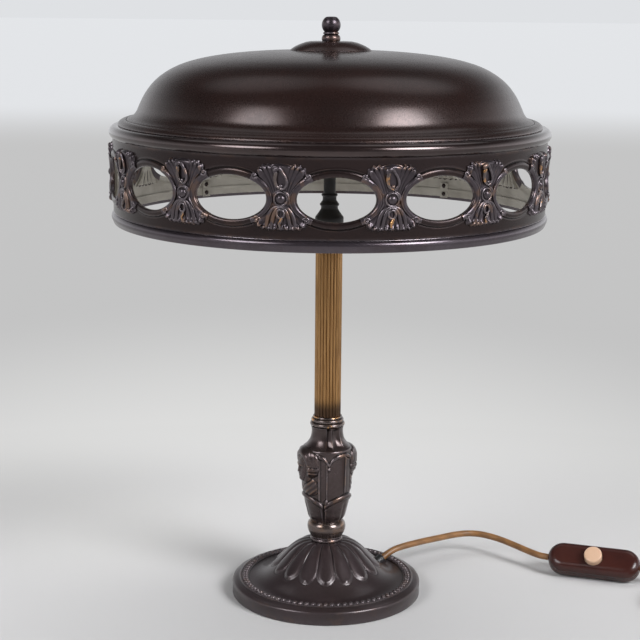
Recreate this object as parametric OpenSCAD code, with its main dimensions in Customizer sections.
// Bouillotte table lamp: a pierced metal drum shade with a spun dome, on a
// reeded brass column with a cast vase, a knop and a lobed foot. The mains
// flex carries an inline push switch and ends in a two-pin plug.
// Millimetres. The origin is the centre of the felt pad, on the table, with
// the stem along +Z. The front is -Y. Angles round the stem count from the
// front towards +X.

/* [Foot] */
// Diameter of the foot at the table
foot_d = 163; // [159:0.5:172]
// Height of the foot where the stem starts
foot_h = 46; // [44:0.5:48]
// Wall thickness of the cast foot
foot_wall = 2.4; // [2:0.1:3]
// Number of rounded lobes round the foot
lobes = 16; // [14:1:18]
// Height of the lobes above the hollows between them
lobe_h = 2.8; // [1.5:0.1:3.5]
// Radius at the rounded tips of the lobes
lobe_tip_r = 46.3; // [44:0.1:48]
// Number of beads in the ring round the foot
beads = 84; // [60:1:84]
// Radius of the ring of beads
bead_ring_r = 70.6; // [70:0.1:71]

/* [Stem] */
// Outer diameter of the threaded tube that carries the lamp
tube_d = 10; // [9.8:0.1:10]
// Bore of the threaded tube
tube_bore_d = 8; // [7.5:0.1:8.2]
// Top of the turned ring on the foot
neck_ring_top = 51; // [50:0.5:52]
// Top of the rounded knop
knop_top = 65.4; // [65:0.1:66]
// Greatest radius of the knop
knop_r = 16.5; // [15.8:0.1:17]
// Top of the cast vase
vase_top = 149; // [147:0.5:150]
// Top of the collar on the vase
collar_top = 158; // [157:0.5:159]
// Top of the reeded column
column_top = 324; // [318:0.5:330]
// Outer radius of the reeded column
column_r = 11.26; // [10.8:0.02:11.6]
// Number of reeds on the column
reeds = 24; // [20:1:28]

/* [Shade] */
// Outer radius of the pierced band
band_r = 177.6; // [176:0.1:178]
// Thickness of the sheet metal
sheet_t = 1.2; // [1:0.1:1.5]
// Lower end of the pierced band
band_bottom = 336; // [335:0.5:337]
// Upper end of the pierced band
band_top = 394.5; // [394:0.5:396]
// Number of windows, with an ornament between each pair
windows = 14; // [13:1:14]
// Turn of the first window from the front
window_turn = 1.65; // [0:0.05:5]
// Width of one window along the band
window_w = 57.4; // [54:0.2:58]
// Height of one window
window_h = 32.5; // [30:0.5:34]
// Height of the windows' centres
window_z = 365; // [364:0.5:366]
// Outer radius of the rolled ring between the dome and the band
ring_r = 180.4; // [180:0.1:181]
// Outer radius of the rolled rim at the bottom
rim_r = 179.3; // [179:0.1:180]
// Lower edge of the shade
rim_bottom = 326.5; // [325:0.5:328]
// Height of the dome at its centre
dome_top = 466; // [465:0.5:467]

/* [Light] */
// Height of the two lamp holders' axis
light_z = 420; // [415:1:422]
// Outer diameter of a bulb
bulb_d = 45; // [40:1:45]

/* [Switch] */
// Length of the inline switch
switch_l = 82; // [78:1:84]
// Width of the inline switch
switch_w = 28; // [27:0.5:29]
// Thickness of the inline switch
switch_h = 20; // [19:0.5:21]
// Diameter of the push button
button_d = 15.7; // [14:0.1:16]
// Travel of the push button
button_travel = 2.5; // [2:0.1:3]

/* [Flex] */
// Diameter of the mains flex
flex_d = 5.7; // [5.4:0.1:5.8]
// Radius of the coil at the middle of its turns
coil_mid_r = 34; // [33:0.5:34.5]
// Turns in the coil, in two layers
coil_turns = 7.2; // [6.8:0.1:7.6]

/* [Hidden] */
$fn = 64;
e = 0.01;

// Metals and other colours
bronze = [0.22, 0.15, 0.13];
dark_bronze = [0.17, 0.13, 0.14];
antique_brass = [0.55, 0.40, 0.20];
black_metal = [0.06, 0.06, 0.06];
steel = [0.62, 0.62, 0.60];
porcelain = [0.92, 0.91, 0.86];
opal = [0.96, 0.95, 0.90];
brown_plastic = [0.24, 0.15, 0.14];
button_cream = [0.93, 0.78, 0.67];
gold_flex = [0.69, 0.53, 0.36];

// ---------- shared shapes ----------

// Points of an arc of radius r about (cx, cz), from angle a0 to a1.
function arc(cx, cz, r, a0, a1, n) =
    [for (i = [0:n]) let (a = a0 + (a1 - a0) * i / n) [cx + r * cos(a), cz + r * sin(a)]];

// A smooth step from 0 to 1 as t goes from 0 to 1.
function ease(t) = let (c = min(1, max(0, t))) (1 - cos(180 * c)) / 2;

// Value of y at x along the points of a polyline of [x, y] pairs.
function along(points, x, i = 0) =
    x <= points[i][0] ? points[i][1] :
    i >= len(points) - 2 || x <= points[i + 1][0] ?
        let (a = points[i], b = points[min(i + 1, len(points) - 1)])
        a[1] + (b[1] - a[1]) * min(1, (x - a[0]) / (b[0] - a[0])) :
    along(points, x, i + 1);

// Closed solid through a list of rings, each with the same number of points,
// that runs round like the skin of a tyre: the last ring joins the first.
module ring_solid(rings) {
    n = len(rings[0]);
    m = len(rings);
    quads = [
        for (i = [0:m - 1], j = [0:n - 1])
        let (k = (i + 1) % m, l = (j + 1) % n)
        [i * n + j, i * n + l, k * n + l, k * n + j]
    ];
    polyhedron([for (r = rings) each r], quads, convexity = 6);
}

// Solid of a round bar of diameter d through the points of a route, with
// flat ends. Each ring stands square to the route.
module bar_along(route, d, sides = 10) {
    last = len(route) - 1;
    rings = [
        for (i = [0:last])
        let (
            t = route[min(i + 1, last)] - route[max(i - 1, 0)],
            u = t / norm(t),
            side = cross(u, abs(u[2]) > 0.8 ? [0, 1, 0] : [0, 0, 1]),
            v = side / norm(side),
            w = cross(v, u)
        )
        [for (a = [0:360 / sides:359.9]) route[i] + d / 2 * (cos(a) * v + sin(a) * w)]
    ];
    walls = [
        for (i = [0:last - 1], j = [0:sides - 1])
        let (l = (j + 1) % sides)
        [i * sides + j, i * sides + l, (i + 1) * sides + l, (i + 1) * sides + j]
    ];
    start = [for (j = [sides - 1:-1:0]) j];
    finish = [for (j = [0:sides - 1]) last * sides + j];
    polyhedron([for (r = rings) each r], [each walls, start, finish], convexity = 8);
}

// Plain round washer or tube standing on z.
module tube(r_out, r_in, z0, z1) {
    translate([0, 0, z0])
        difference() {
            cylinder(r = r_out, h = z1 - z0);
            translate([0, 0, -1]) cylinder(r = r_in, h = z1 - z0 + 2);
        }
}

// Hexagon nut with a plain bore.
module hex_nut(across, bore_r, z0, z1) {
    translate([0, 0, z0])
        difference() {
            cylinder(d = across / cos(30), h = z1 - z0, $fn = 6);
            translate([0, 0, -1]) cylinder(r = bore_r, h = z1 - z0 + 2);
        }
}

// Turned piece: a profile of [radius, height] points, closed along the bore.
module turned(profile, bore_r) {
    top = profile[len(profile) - 1][1];
    rotate_extrude()
        polygon([[bore_r, profile[0][1]], each profile, [bore_r, top]]);
}

// Rectangle with rounded corners, centred.
module soft_rectangle(w, h, r) {
    square([w - 2 * r, h], center = true);
    square([w, h - 2 * r], center = true);
    for (x = [-1, 1], y = [-1, 1])
        translate([x * (w / 2 - r), y * (h / 2 - r)]) circle(r, $fn = 32);
}

// ---------- foot ----------

stem_bore_r = tube_d / 2 + 0.1;
foot_r = foot_d / 2;
pad_t = 1.5;
flank_r = 66;
flank_z = 13;
seat_z = 13.6;
wall_top = 10.6;
neck_r = 14;
lobe_round_r = 7.3;
lobe_sides = 6;

// Height of the flank between the lobes.
function flank_height(r) =
    flank_z + (foot_h - 0.5 - flank_z)
        * pow((1 + cos(180 * min(1, max(0, (r - neck_r) / (flank_r - neck_r))))) / 2, 1.1);

// Half the width of a lobe, which ends in a round tip.
function lobe_half(r) =
    let (tip_c = lobe_tip_r - lobe_round_r, straight = PI * r / lobes - 0.3)
    r <= tip_c ? straight :
    min(straight, sqrt(max(0, pow(lobe_round_r, 2) - pow(r - tip_c, 2))));

// Height of a lobe over the flank, s millimetres to the side of its crest.
function lobe_rise(r, s) =
    let (half = lobe_half(r), grow = 0.35 + 0.65 * ease((r - neck_r) / 20))
    half < 0.2 || abs(s) >= half ? 0 : lobe_h * grow * sqrt(1 - pow(s / half, 2));

// One ring of the foot's skin at radius r and height z, with lobes or plain.
function foot_ring(r, z, lobed) =
    [for (j = [0:lobes * lobe_sides - 1])
        let (
            a = 360 * j / (lobes * lobe_sides),
            off = (j % lobe_sides > lobe_sides / 2 ? j % lobe_sides - lobe_sides : j % lobe_sides),
            s = 2 * PI * r * off / (lobes * lobe_sides)
        )
        [r * sin(a), -r * cos(a), z + (lobed ? lobe_rise(r, s) : 0)]];

module foot_shell_body() {
    lobed_r = [neck_r, 18, 22, 26, 30, 34, 37, 39.5, 41.5, 43.2, 44.6, 45.7, 46.6, 50, 55, 60, flank_r];
    outer = [
        foot_ring(stem_bore_r, foot_h, false),
        foot_ring(neck_r - 0.4, foot_h, false),
        for (r = lobed_r) foot_ring(r, flank_height(r), true),
        foot_ring(67.8, seat_z, false),
        foot_ring(73.4, seat_z, false),
        foot_ring(74.6, 14.4, false),
        foot_ring(foot_r - 4.2, 14, false),
        foot_ring(foot_r - 2.2, 13, false),
        foot_ring(foot_r - 0.9, 11.7, false),
        foot_ring(foot_r, wall_top, false),
        foot_ring(foot_r, 0.4, false)
    ];
    inner = [
        foot_ring(foot_r - foot_wall, 0.4, false),
        foot_ring(foot_r - foot_wall, 6, false),
        foot_ring(foot_r - 4.8, 9.6, false),
        foot_ring(66, 10.6, false),
        for (r = [56, 48, 40, 32, 24, 16]) foot_ring(r - 1.2, flank_height(r) - foot_wall, false),
        foot_ring(12.5, foot_h - foot_wall, false),
        foot_ring(stem_bore_r, foot_h - foot_wall, false)
    ];
    ring_solid([each outer, each inner]);
}

// Place and direction of the flex outlet in the flank of the foot. Inside,
// a boss gives the nut of its bushing a face square to the flex.
gland_mouth = [50.5, 36.3, 16.2];
gland_yaw = 33;
gland_lift = 25;
gland_r = 4.3;
gland_l = 15.6;
boss_r = 6.6;
boss_back = -12.4;
boss_front = -9.6;
module at_gland() {
    translate(gland_mouth) rotate([0, 90 - gland_lift, gland_yaw]) children();
}

module foot_shell() {
    color(bronze)
        difference() {
            union() {
                foot_shell_body();
                at_gland() translate([0, 0, boss_back]) cylinder(r = boss_r, h = boss_front - boss_back);
            }
            at_gland() translate([0, 0, -20]) cylinder(r = gland_r + 0.1, h = 36);
        }
}

module felt_pad() {
    color("darkgreen") cylinder(r = foot_r - foot_wall - 0.3, h = pad_t);
}

// Iron ring with a slot for the bushing and the flex.
module foot_weight() {
    slot_w = 17;
    color("dimgray")
        difference() {
            tube(76, 36, pad_t, 8.6);
            translate([gland_mouth[0], gland_mouth[1], 0]) rotate(gland_yaw)
                translate([-34, -slot_w / 2, 0]) cube([33, slot_w, 10]);
        }
}

module bead_ring() {
    bead_r = PI * bead_ring_r / beads - 0.1;
    bed_t = 0.7;
    color(bronze) {
        tube(bead_ring_r + bead_r + 0.3, bead_ring_r - bead_r - 0.3, seat_z, seat_z + bed_t);
        for (i = [0:beads - 1])
            rotate(360 * i / beads)
                translate([bead_ring_r, 0, seat_z + bed_t - e])
                    rotate_extrude($fn = 24)
                        intersection() {
                            circle(bead_r, $fn = 24);
                            square(bead_r + 1);
                        }
    }
}

foot_nut_top = foot_h - foot_wall - 1.5;
module foot_washer() {
    color(steel) tube(11, stem_bore_r, foot_nut_top, foot_h - foot_wall);
}
module foot_nut() {
    color(steel) hex_nut(14, tube_d / 2, foot_nut_top - 4.5, foot_nut_top);
}

module cord_gland() {
    color(black_metal) at_gland()
        turned([[gland_r, -gland_l], [gland_r, -2.2], [gland_r - 0.4, -0.7], [gland_r - 0.9, 0]], flex_d / 2);
}
module gland_nut() {
    color(black_metal) at_gland() hex_nut(12, gland_r, boss_back - 2.4, boss_back);
}

// ---------- stem ----------

module neck_ring() {
    color(bronze)
        turned([[13, foot_h], each arc(11.9, foot_h + 2.1, 2, -60, 90, 8), [12.2, neck_ring_top - 0.6],
                [13.4, neck_ring_top]], stem_bore_r);
}

// A rounded knop: how far in from its widest place, and the share of its
// height.
knop_shape = [
    [2.6, 0], [2.2, 0.08], [1.4, 0.18], [0.75, 0.28], [0.25, 0.37], [0, 0.49], [0, 0.59], [0.15, 0.69],
    [0.4, 0.76], [0.95, 0.83], [1.7, 0.9], [2.3, 0.945], [3.2, 1]
];
module knop() {
    color(bronze)
        turned([
            for (p = knop_shape) [knop_r - p[0], neck_ring_top + (knop_top - neck_ring_top) * p[1]]
        ], stem_bore_r);
}

// The vase has two heads, nearly opposite each other, a cup of three leaves
// and three arched hoods with a rib under each cusp.
heads = [-68, 118];
head_z = 113.3;
vase_sides = 48;
vase_outline = [
    [knop_top, 13.2], [67, 14], [70, 15.7], [72.7, 16.4], [75.5, 17], [78.2, 17.7], [80.9, 18.4],
    [83.6, 19], [86.5, 19.3], [90, 19.5],
    [96, 19.8], [108, 20.2], [118, 20.5], [125, 20.7], [128.4, 20.6], [130.2, 20.4], [131.6, 19], [134, 16.8],
    [137.5, 14.6], [141, 13.6], [145, 13.3], [149, 13.9]
];
neck_facets = 10;
leaf_valley = -8;
hood_cusp = 5;

// Angle from a turn to the nearest of three places 120 degrees apart.
function from_third(turn, first) = abs((turn - first + 420) % 120 - 60);
// Angle from a turn to the nearer head.
function from_head(turn) = min([for (h = heads) abs((turn - h + 540) % 360 - 180)]);
// Height of the cup of leaves, lowest between two leaves.
function leaf_edge(turn) = 82.5 + 8.5 * pow(sin(1.5 * from_third(turn, leaf_valley)), 0.7);
// Lower edge of the hoods, lowest at their cusps.
function hood_edge(turn) = 125 - 8 * exp(-from_third(turn, hood_cusp) / 10);
// How far a head stands out: hair that spreads to both sides, and an oval
// face with a brow, a nose and a chin down its middle.
function head_rise(turn, z) =
    let (
        d = from_head(turn),
        w = z - head_z,
        oval = 1 - pow(d / 34, 2) - pow((w - 0.8) / 14.3, 4),
        hair = 1 - pow(d / 55, 4) - pow((w - 4.7) / 11.7, 4),
        face = 1 - pow(d / 17, 2) - pow((w + 1.5) / 10, 2),
        nose = exp(-pow(d / 5, 2) - pow((w + 1.6) / 2.6, 2)),
        brow = exp(-pow(d / 14, 2) - pow((w - 3.4) / 1.8, 2)),
        chin = exp(-pow(d / 8, 2) - pow((w + 9.4) / 1.8, 2))
    )
    max(2.9 * sqrt(max(0, hair)), 4 * sqrt(max(0, oval)) + 0.8 * sqrt(max(0, face)))
        + 1.5 * nose + 0.6 * brow + 0.7 * chin;
function rib_rise(turn, z) =
    z > hood_edge(turn) || z < leaf_edge(turn) ? 0 : 0.9 * exp(-pow(from_third(turn, hood_cusp - 5) / 5, 2));
function vase_radius(turn, z) =
    let (
        base = along(vase_outline, z),
        facet = 360 / neck_facets,
        flat = cos(facet / 2) / cos(((turn + facet / 2 + 2 + 360) % facet) - facet / 2),
        neck = ease((z - 131) / 4),
        leaf = z < leaf_edge(turn) && z > 67.5 ? 1 : 0,
        hood = z > hood_edge(turn) && z < 130.5 ? 0.8 : 0
    )
    base * (1 + neck * (flat - 1)) + max(leaf + hood + rib_rise(turn, z), head_rise(turn, z));

module vase() {
    levels = [knop_top, 68, 71, 75, 78, 80.5, 83, 85.5, 88, 92, 96, 98.5, 101, 103.5, 106, 108.5, 111, 113.5,
              116, 118.5, 121, 123.5, 126, 128.4, 130.2, 131.6, 134, 137.5, 141, 145, vase_top];
    outer = [
        for (i = [len(levels) - 1:-1:0])
        [for (j = [0:vase_sides - 1])
            let (a = 360 * j / vase_sides, z = levels[i], r = vase_radius(a, z))
            [r * sin(a), -r * cos(a), z]]
    ];
    bore = [
        for (z = [levels[0], vase_top])
        [for (j = [0:vase_sides - 1])
            let (a = 360 * j / vase_sides)
            [stem_bore_r * sin(a), -stem_bore_r * cos(a), z]]
    ];
    color(bronze) ring_solid([each outer, each bore]);
}

module vase_collar() {
    color(bronze)
        turned([
            [13.6, vase_top], each arc(12.9, vase_top + 2, 2, -75, 75, 8), [13.0, vase_top + 4.4],
            each arc(11.7, vase_top + 6.6, 1.9, -60, 80, 8), [11.6, collar_top]
        ], stem_bore_r);
}

module column() {
    reed_r = 1.3;
    color(antique_brass)
        translate([0, 0, collar_top])
            linear_extrude(column_top - collar_top)
                difference() {
                    union() {
                        circle(column_r - reed_r + 0.25);
                        for (i = [0:reeds - 1])
                            rotate(360 * i / reeds) translate([column_r - reed_r, 0]) circle(reed_r, $fn = 24);
                    }
                    circle(stem_bore_r);
                }
}

column_cap_top = column_top + 24;
module column_cap() {
    b = column_top;
    color(black_metal)
        turned([
            [11.6, b], [11.9, b + 0.6], [11.9, b + 4.2], [11.2, b + 5.2], [9.6, b + 7.6], [8.1, b + 9.8],
            [7.2, b + 11.2], [7.0, b + 13], [7.9, b + 13.8], [7.9, b + 16.4], [6.6, b + 17.6], [5.7, b + 19],
            [5.7, b + 21.6], [6.6, b + 22.4], [6.6, column_cap_top]
        ], stem_bore_r);
}

tube_bottom = 34;
finial_seat = dome_top + 5;
module stem_tube() {
    color(black_metal)
        difference() {
            tube(tube_d / 2, tube_bore_d / 2, tube_bottom, finial_seat + 8);
            for (a = [0, 180])
                translate([0, 0, light_z]) rotate([0, 90, a]) cylinder(r = 2.6, h = 10, $fn = 24);
        }
}

// ---------- light ----------

cup_r = 16;
cup_bottom = light_z - 13;
cup_top = light_z + 12;
module cluster_nut() {
    color(steel) hex_nut(14, tube_d / 2, cup_bottom - 4, cup_bottom);
}
module cluster_cup() {
    color(antique_brass)
        difference() {
            turned([[11, cup_bottom], [14, cup_bottom + 1.2], [cup_r, cup_bottom + 4], [cup_r, cup_top]],
                   stem_bore_r);
            tube(cup_r - 1.6, stem_bore_r - 1, cup_bottom + 3, cup_top + 1);
            for (a = [0, 180])
                translate([0, 0, light_z]) rotate([0, 90, a]) translate([0, 0, 8]) cylinder(r = 5, h = 12);
        }
}
module cluster_cover() {
    color(antique_brass)
        turned([[cup_r + 0.6, cup_top], [cup_r + 0.6, cup_top + 1.4], [12, cup_top + 3], [7, cup_top + 3.4]],
               stem_bore_r);
}

// Places its children along each lamp holder, with Z pointing outwards.
module at_arms() {
    for (a = [0, 180]) rotate(a) translate([0, 0, light_z]) rotate([0, 90, 0]) children();
}
module arm_nipples() {
    color(steel) at_arms() tube(5, 3.5, cup_r - 4, cup_r + 9);
}
holder_start = cup_r + 3;
module holder_caps() {
    color(black_metal) at_arms()
        difference() {
            turned([[7, holder_start], [7, holder_start + 3], each arc(0, holder_start + 14, 14, -50, 0, 8),
                    [14, holder_start + 16]], 5.0);
            translate([0, 0, holder_start + 10]) cylinder(r = 12.2, h = 7);
        }
}
module holder_sleeves() {
    color(black_metal) at_arms()
        turned([[12.6, holder_start + 16], [14, holder_start + 16], [14, holder_start + 20],
                [13.4, holder_start + 21], [13.4, holder_start + 43], [12.2, holder_start + 44]], 11.4);
}
module holder_cores() {
    color(porcelain) at_arms() {
        translate([0, 0, holder_start + 16]) cylinder(r = 11.2, h = 8);
        tube(11.2, 7.2, holder_start + 24, holder_start + 42);
    }
}
bulb_start = holder_start + 24;
bulb_length = 78;
bulb_centre = bulb_start + bulb_length - bulb_d / 2;
module bulb_caps() {
    color("silver") at_arms() {
        translate([0, 0, bulb_start]) cylinder(r1 = 2.5, r2 = 5.5, h = 2.6);
        translate([0, 0, bulb_start + 2.6 - e]) cylinder(r = 6.9, h = 19.4);
    }
}
module bulb_glass() {
    globe = bulb_d / 2;
    neck_z = bulb_start + 22;
    color(opal) at_arms()
        rotate_extrude()
            polygon([
                [0, neck_z], [7.4, neck_z], [8.2, neck_z + 4], [11.6, neck_z + 9.5],
                each arc(0, bulb_centre, globe, -50, 90, 18)
            ]);
}
module holder_wires() {
    color("ivory") at_arms()
        for (y = [-1.6, 1.6])
            translate([0, y, tube_d / 2 + 1]) cylinder(r = 0.9, h = holder_start + 15 - tube_d / 2, $fn = 16);
}

// ---------- shade ----------

seat_top = dome_top - sheet_t;
module seat_disc() {
    color(steel) tube(20, stem_bore_r, seat_top - 1.6, seat_top);
}
module seat_nut() {
    color(steel) hex_nut(14, tube_d / 2, seat_top - 6.1, seat_top - 1.6);
}

// Outer profile of the dome from its flat middle to the lip at its foot.
dome_profile = [
    [30, dome_top], [52, dome_top - 0.9], [70, dome_top - 2.4], [84, dome_top - 4.1], [95, dome_top - 5.9],
    [105, dome_top - 8.0], [114, dome_top - 10.3], [121, dome_top - 12.6], [127.5, dome_top - 15.4],
    [133, dome_top - 18.4], [138, dome_top - 21.8], [142, dome_top - 25.1], [145.6, dome_top - 28.8],
    [148.6, dome_top - 32.6], [151.3, dome_top - 36.6], [153.7, dome_top - 41], [155.8, dome_top - 45.4],
    [157.6, dome_top - 49.6], [159.3, dome_top - 52.2], [161.2, dome_top - 54], [164, dome_top - 55.5],
    [168.5, dome_top - 56.9], [171.7, dome_top - 58.3], [173.1, dome_top - 60.8]
];
ring_top = dome_top - 61;
ring_mid = (ring_top + band_top) / 2;
module dome() {
    skin = [for (p = dome_profile) p];
    last = len(skin) - 1;
    inside = [
        for (i = [last - 2:-1:0])
        let (t = skin[i + 1] - skin[max(i - 1, 0)], n = [t[1], -t[0]] / norm(t))
        skin[i] + sheet_t * [n[0], -abs(n[1])]
    ];
    color(bronze)
        rotate_extrude($fn = 128)
            polygon([
                [stem_bore_r, dome_top], each skin, [173.1, ring_top], [170.5, ring_top],
                each inside, [stem_bore_r, seat_top]
            ]);
}

// Rolled ring: a hollow half-round moulding that the dome stands on and the
// band hangs from.
module shade_ring() {
    round_r = (ring_top - band_top) / 2;
    color(dark_bronze)
        rotate_extrude($fn = 128)
            difference() {
                union() {
                    translate([ring_r - round_r, ring_mid]) circle(round_r, $fn = 32);
                    translate([170.5, band_top]) square([ring_r - round_r - 170.5, 2 * round_r]);
                }
                translate([168, ring_mid - round_r + sheet_t]) square([5, 2 * round_r]);
                translate([168, band_top - 1]) square([8.4, 2 * round_r - sheet_t + 1]);
            }
}

// Outline of one window, grown all round by g.
module window_outline(g = 0) {
    polygon([for (a = [0:10:350]) [(window_w / 2 + g) * cos(a), (window_h / 2 + g) * sin(a)]]);
}
// Places its children against the band at each window or, half a pitch on,
// at each ornament, with Z pointing outwards and Y up.
module round_band(z, half_pitch = 0) {
    for (i = [0:windows - 1])
        rotate(window_turn + 360 * (i + half_pitch) / windows)
            translate([0, 0, z]) rotate([90, 0, 0]) children();
}
frame_grow = 5.2;
frame_out = 1.4;
cartouche_w = 41.6;
cartouche_h = 51;
cartouche_z = 366.5;

module band() {
    color(dark_bronze)
        difference() {
            union() {
                tube(band_r, band_r - sheet_t, band_bottom, band_top);
                intersection() {
                    tube(band_r + frame_out, band_r - sheet_t, band_bottom + 1, band_top - 1);
                    round_band(window_z) translate([0, 0, 150]) linear_extrude(40) difference() {
                        window_outline(frame_grow);
                        for (s = [-1, 1])
                            translate([s * PI * band_r / windows, 0])
                                square([cartouche_w, cartouche_h + 20], center = true);
                    }
                }
            }
            round_band(window_z) translate([0, 0, 150]) linear_extrude(40) window_outline();
        }
}

// Ornament between two windows: an hourglass plate with a rounded rib down
// each side, a ball in a ring at the waist, and a fan of petals at each end.
plate_z = band_r + 1.6;
module hourglass(inset = 0) {
    difference() {
        square([cartouche_w - 2 * inset, cartouche_h - 8], center = true);
        for (s = [-1, 1])
            translate([s * PI * 2 * band_r / windows / 2, window_z - cartouche_z]) window_outline(inset);
    }
}
module petal(turn, from, length, r1, r2) {
    translate([0, 0, plate_z]) rotate(turn) translate([0, from, 0]) rotate([-90, 0, 0]) {
        cylinder(r1 = r1, r2 = r2, h = length, $fn = 24);
        translate([0, 0, length]) sphere(r2, $fn = 24);
    }
}
module cartouche() {
    translate([0, 0, band_r - 4]) linear_extrude(5.6) hourglass();
    translate([0, 0, band_r - 4]) linear_extrude(6.7)
        difference() {
            hourglass();
            hourglass(2.6);
            for (s = [-1, 1]) translate([0, s * cartouche_h / 2]) square([60, 14], center = true);
        }
    for (s = [0, 1]) mirror([0, s, 0]) {
        for (k = [-2, -1, 1, 2])
            petal(k * 23, 7.2, 14.6 - 0.2 * abs(k), 1.0, 2.4);
        petal(0, 7.6, 12.6, 1.2, 3.2);
        for (x = [-1, 1]) translate([x * 18.6, 20.2, plate_z]) sphere(2.2, $fn = 24);
    }
    translate([0, 0, plate_z]) rotate_extrude() translate([5.2, 0]) circle(0.95, $fn = 24);
    translate([0, 0, plate_z + 0.5]) sphere(3.4, $fn = 32);
}
module cartouches() {
    color(dark_bronze)
        difference() {
            round_band(cartouche_z, 0.5) cartouche();
            translate([0, 0, band_bottom - 5]) cylinder(r = band_r, h = band_top - band_bottom + 10, $fn = 720);
        }
}

clip_t = 0.9;
rim_in_r = band_r - sheet_t - clip_t;
module lower_rim() {
    color(dark_bronze)
        rotate_extrude($fn = 128)
            polygon([
                [rim_in_r, band_bottom], [band_r + 0.4, band_bottom],
                each arc(rim_r - 4.2, rim_bottom + 5, 4.2, 78, -30, 10),
                [176.6, rim_bottom], [rim_in_r, rim_bottom]
            ]);
}

// Short tabs behind four of the ornaments, riveted through the band and the
// lower rim. They step over the rim's thicker wall.
module at_clips() {
    for (place = [1, 5, 8, 12]) rotate(window_turn + 360 * (place + 0.5) / windows) children();
}
module band_clips() {
    width_angle = 2.6;
    color(dark_bronze) at_clips() rotate(-90 - width_angle / 2)
        rotate_extrude(angle = width_angle, $fn = 720)
            polygon([
                [rim_in_r - clip_t, rim_bottom + 1.5], [rim_in_r, rim_bottom + 1.5], [rim_in_r, band_bottom],
                [rim_in_r + clip_t, band_bottom], [rim_in_r + clip_t, band_bottom + 5.5],
                [rim_in_r - clip_t, band_bottom + 5.5]
            ]);
}
module clip_rivets() {
    color(dark_bronze) at_clips()
        for (z = [rim_bottom + 5, band_bottom + 3])
            intersection() {
                translate([0, clip_t - rim_in_r - 0.1, z]) rotate([-90, 0, 0])
                    cylinder(r1 = 2.2, r2 = 1.2, h = 1.3, $fn = 24);
                translate([0, 0, z - 3]) cylinder(r = rim_in_r - clip_t - 0.01, h = 6, $fn = 720);
            }
}

module shade_cap() {
    color(bronze)
        rotate_extrude($fn = 96)
            polygon([
                [stem_bore_r, dome_top + 4.1], [stem_bore_r, finial_seat], [17, finial_seat], [21, dome_top + 4.8],
                [25, dome_top + 4.2], [28.5, dome_top + 3.2], [31.2, dome_top + 1.9], [33.2, dome_top + 0.1],
                [31.6, dome_top + 0.1], [29.8, dome_top + 1.3], [27.4, dome_top + 2.4], [24.4, dome_top + 3.3],
                [20.8, dome_top + 3.9], [17, dome_top + 4.1]
            ]);
}

// The finial stands a hair off the cap, so that it turns on the tube alone.
ball_r = 7.55;
finial_bore = 8.4;
finial_gap = 0.3;
module finial() {
    s = finial_seat;
    color(dark_bronze)
        difference() {
            rotate_extrude()
                polygon([
                    [0, s + finial_gap], [6.6, s + finial_gap], each arc(3.6, s + 2.6, 4, -34, 50, 8), [5.7, s + 6.4],
                    each arc(5.6, s + 7.7, 0.95, -70, 70, 6), [5.5, s + 9.1],
                    each arc(0, s + 15.1, ball_r, -46, 56, 14), [0, s + 21.4]
                ]);
            translate([0, 0, s - 1]) cylinder(r = tube_d / 2 + 0.05, h = finial_bore + 1);
        }
}

// ---------- flex inside the lamp ----------

gland_axis = [cos(gland_lift) * cos(gland_yaw), cos(gland_lift) * sin(gland_yaw), sin(gland_lift)];
gland_back = gland_mouth - gland_l * gland_axis;
inner_route = [
    gland_back, gland_back - 5 * gland_axis, [27, 21.2, 7.2], [20, 15.4, 9.2], [13.5, 9.5, 13.4],
    [7, 4.5, 20], [2.5, 1.5, 27], [0.4, 0.2, 34], [0, 0, 42], [0, 0, 200], [0, 0, light_z + 2]
];
module inner_flex() {
    color(gold_flex) bar_along(inner_route, flex_d, 8);
}

// ---------- inline switch ----------

// The switch lies rolled towards the front on its rounded lower edge.
switch_at = [240, 34.4, 14.2];
switch_yaw = -17.6;
switch_roll = 43;
split_w = 1.5;
shell_t = 1.8;
module at_switch() {
    translate(switch_at) rotate(switch_yaw) rotate([switch_roll, 0, 0]) children();
}
// Loaf with half-round ends, made from its rounded cross-section.
module loaf(l, w, h, r) {
    rotate([90, 0, 90]) translate([0, 0, -(l - w) / 2]) linear_extrude(l - w) soft_rectangle(w, h, r);
    for (s = [0, 180])
        rotate(s) translate([(l - w) / 2, 0, 0]) rotate(-90) rotate_extrude(angle = 180) intersection() {
            soft_rectangle(w, h, r);
            translate([0, -h]) square([w, 2 * h]);
        }
}
module switch_shell() {
    difference() {
        loaf(switch_l, switch_w, switch_h, 7.5);
        loaf(switch_l - 2 * shell_t, switch_w - 2 * shell_t, switch_h - 2 * shell_t, 7.5 - shell_t);
        rotate([0, 90, 0]) cylinder(d = flex_d, h = switch_l + 4, center = true, $fn = 32);
    }
}
// Two screws stand at opposite corners, in posts of the base and the cover.
screw_at = [26, 7.5];
post_r = 2.6;
screw_r = 0.9;
screw_seat = -8.6;
screw_top = 6;
floor_w = -switch_h / 2 + shell_t;
module at_screws() {
    at_switch() for (s = [0, 180]) rotate(s) translate(screw_at) children();
}
module switch_posts(z0, z1) {
    for (s = [0, 180]) rotate(s) translate([screw_at[0], screw_at[1], z0]) cylinder(r = post_r, h = z1 - z0, $fn = 32);
}
module switch_base() {
    color(brown_plastic)
        difference() {
            at_switch() {
                difference() {
                    switch_shell();
                    translate([0, 0, split_w + 50]) cube(100, center = true);
                }
                switch_posts(floor_w - 0.4, split_w - 0.2);
            }
            at_screws() {
                translate([0, 0, screw_seat - 5]) cylinder(r = 1.8, h = 5, $fn = 32);
                translate([0, 0, screw_seat - 1]) cylinder(r = screw_r + 0.1, h = 20, $fn = 32);
            }
        }
}
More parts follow.
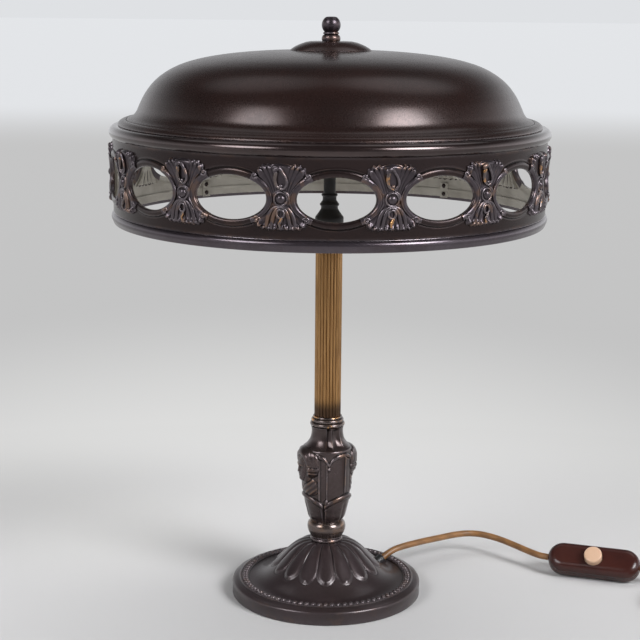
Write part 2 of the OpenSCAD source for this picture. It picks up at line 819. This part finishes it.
module switch_cover() {
    color(brown_plastic)
        difference() {
            at_switch() {
                difference() {
                    switch_shell();
                    translate([0, 0, split_w - 50]) cube(100, center = true);
                    cylinder(d = button_d + 0.6, h = switch_h);
                }
                switch_posts(split_w, -floor_w + 0.4);
            }
            at_screws() cylinder(r = screw_r + 0.1, h = screw_top + 0.2, $fn = 32);
        }
}
module switch_screws() {
    color(steel) at_screws() {
        translate([0, 0, screw_seat - 1.2]) cylinder(r = 1.6, h = 1.2, $fn = 32);
        translate([0, 0, screw_seat - e]) cylinder(r = screw_r, h = screw_top - screw_seat, $fn = 32);
    }
}

// The button's flange rests under the cover's ceiling. A spring on the floor
// holds it there, round a contact ring that meets the fixed contacts.
button_out = 6;
flange_top = 7.3;
flange_under = 5.9;
ring_t = 0.8;
module push_button() {
    top = switch_h / 2 + button_out;
    color(button_cream) at_switch()
        turned([[button_d / 2 + 1.3, flange_under], [button_d / 2 + 1.3, flange_top],
                [button_d / 2, flange_top], [button_d / 2, top - 0.7], [button_d / 2 - 0.7, top]], 0);
}
module button_spring() {
    turns = 5;
    wire = 0.6;
    coil_r = 4;
    low = floor_w + wire / 2 + 0.05;
    high = flange_under - wire / 2 - 0.05;
    helix = [for (a = [0:30:360 * turns]) [coil_r * cos(a), coil_r * sin(a), low + (high - low) * a / 360 / turns]];
    color(steel) at_switch() bar_along(helix, wire, 6);
}
module moving_contact() {
    color("goldenrod") at_switch() tube(6.8, 5.2, flange_under - ring_t, flange_under);
}
module fixed_contacts() {
    finger_top = flange_under - ring_t - button_travel - 0.1;
    color("goldenrod") at_switch()
        for (s = [0, 180]) rotate(s) translate([5.5, -2.5, floor_w + 0.1]) {
            cube([6.2, 5, 1]);
            cube([1, 5, finger_top - floor_w - 0.1]);
        }
}
module switch_terminals() {
    color("goldenrod") at_switch()
        for (x = [-1, 1], y = [-1, 1])
            translate([x * 18, y * 5, floor_w + 2.7])
                difference() {
                    cube([8, 5, 5], center = true);
                    rotate([0, 90, 0]) cylinder(r = 1.3, h = 10, center = true, $fn = 24);
                }
}
module switch_clamps() {
    color("dimgray") at_switch()
        for (x = [-1, 1])
            difference() {
                translate([x * 31, 0, -1.6]) cube([5, 12, 12], center = true);
                rotate([0, x * 90, 0]) cylinder(d = flex_d, h = 40, $fn = 32);
            }
}

// ---------- flex outside the lamp ----------

// From the gland over the beads, in a low arch, to the switch.
switch_route = [
    [50.5, 36.3, 16.2], [57.2, 40.7, 19.9], [64, 44.9, 21.9], [73.5, 51.5, 22.6], [84.5, 60, 22.4],
    [96, 69.5, 21.6], [108, 79.5, 20.6], [119, 88, 19.8], [130, 93.5, 19.2], [141, 94.5, 18.6],
    [151.5, 91, 17.8], [162, 84, 16.8], [171.5, 75, 15.8], [180.3, 65.2, 15], [188.5, 55.6, 14.5],
    [194.5, 49.9, 14.3], [200.8, 46.85, 14.2]
];
module lead_to_switch() {
    color(gold_flex) bar_along(switch_route, flex_d);
}

coil_at = [324, -40];
layer_h = 5.8;
pitch = 5.9;
coil_out_r = coil_mid_r + coil_turns / 2 * pitch / 2;
coil_in_r = coil_mid_r - coil_turns / 2 * pitch / 2;
coil_route = [
    [279, 22, 14.2], [288, 19.1, 13], [297, 16.3, 10], [306, 13.4, 6.6], [315, 10.4, 4],
    [324, 7.2, 3], [334, 3.4, 2.9]
];
module lead_to_coil() {
    color(gold_flex) bar_along(coil_route, flex_d);
}
module flex_coil() {
    color(gold_flex)
        translate([coil_at[0], coil_at[1], 0])
            tube(coil_out_r + flex_d / 2, coil_in_r - flex_d / 2, 0, layer_h + flex_d);
}

plug_x = coil_at[0] + coil_out_r;
plug_y = -66;
plug_w = 35.3;
plug_t = 13.7;
plug_l = 35;
sleeve_l = 20;
pin_l = 19;
module plug_lead() {
    level = plug_t / 2;
    route = [
        [plug_x, coil_at[1], layer_h + flex_d / 2], [plug_x, -46, 8.3], [plug_x, -54, 7.1],
        [plug_x, -60, level], [plug_x, plug_y, level]
    ];
    color(gold_flex) bar_along(route, flex_d);
}
module at_plug() {
    translate([plug_x, plug_y, plug_t / 2]) rotate([90, 0, 0]) children();
}
module plug_sleeve() {
    color(brown_plastic) at_plug() cylinder(d1 = flex_d + 1.6, d2 = 9.6, h = sleeve_l);
}
module plug_body() {
    color(brown_plastic) at_plug() translate([0, 0, sleeve_l]) {
        intersection() {
            linear_extrude(plug_l) soft_rectangle(plug_w, plug_t, 5);
            translate([0, 50, 0]) rotate([90, 0, 0]) linear_extrude(100)
                polygon([[-8, 0], [8, 0], [12, 1.5], [15.5, 5], [plug_w / 2, 11], [plug_w / 2, plug_l],
                         [-plug_w / 2, plug_l], [-plug_w / 2, 11], [-15.5, 5], [-12, 1.5]]);
        }
    }
}
module plug_pins() {
    color("silver") at_plug()
        for (x = [-9.5, 9.5])
            translate([x, 0, sleeve_l + plug_l]) {
                cylinder(d = 4, h = pin_l - 1.6, $fn = 32);
                translate([0, 0, pin_l - 1.6]) cylinder(d1 = 4, d2 = 2.2, h = 1.6, $fn = 32);
            }
}

felt_pad();
foot_weight();
foot_shell();
bead_ring();
foot_washer();
foot_nut();
cord_gland();
gland_nut();
neck_ring();
knop();
vase();
vase_collar();
column();
column_cap();
stem_tube();
cluster_nut();
cluster_cup();
cluster_cover();
arm_nipples();
holder_caps();
holder_sleeves();
holder_cores();
bulb_caps();
bulb_glass();
holder_wires();
seat_nut();
seat_disc();
dome();
shade_ring();
band();
cartouches();
lower_rim();
band_clips();
clip_rivets();
shade_cap();
finial();
inner_flex();
switch_base();
switch_cover();
switch_screws();
switch_terminals();
switch_clamps();
fixed_contacts();
moving_contact();
push_button();
button_spring();
lead_to_switch();
lead_to_coil();
flex_coil();
plug_lead();
plug_sleeve();
plug_body();
plug_pins();
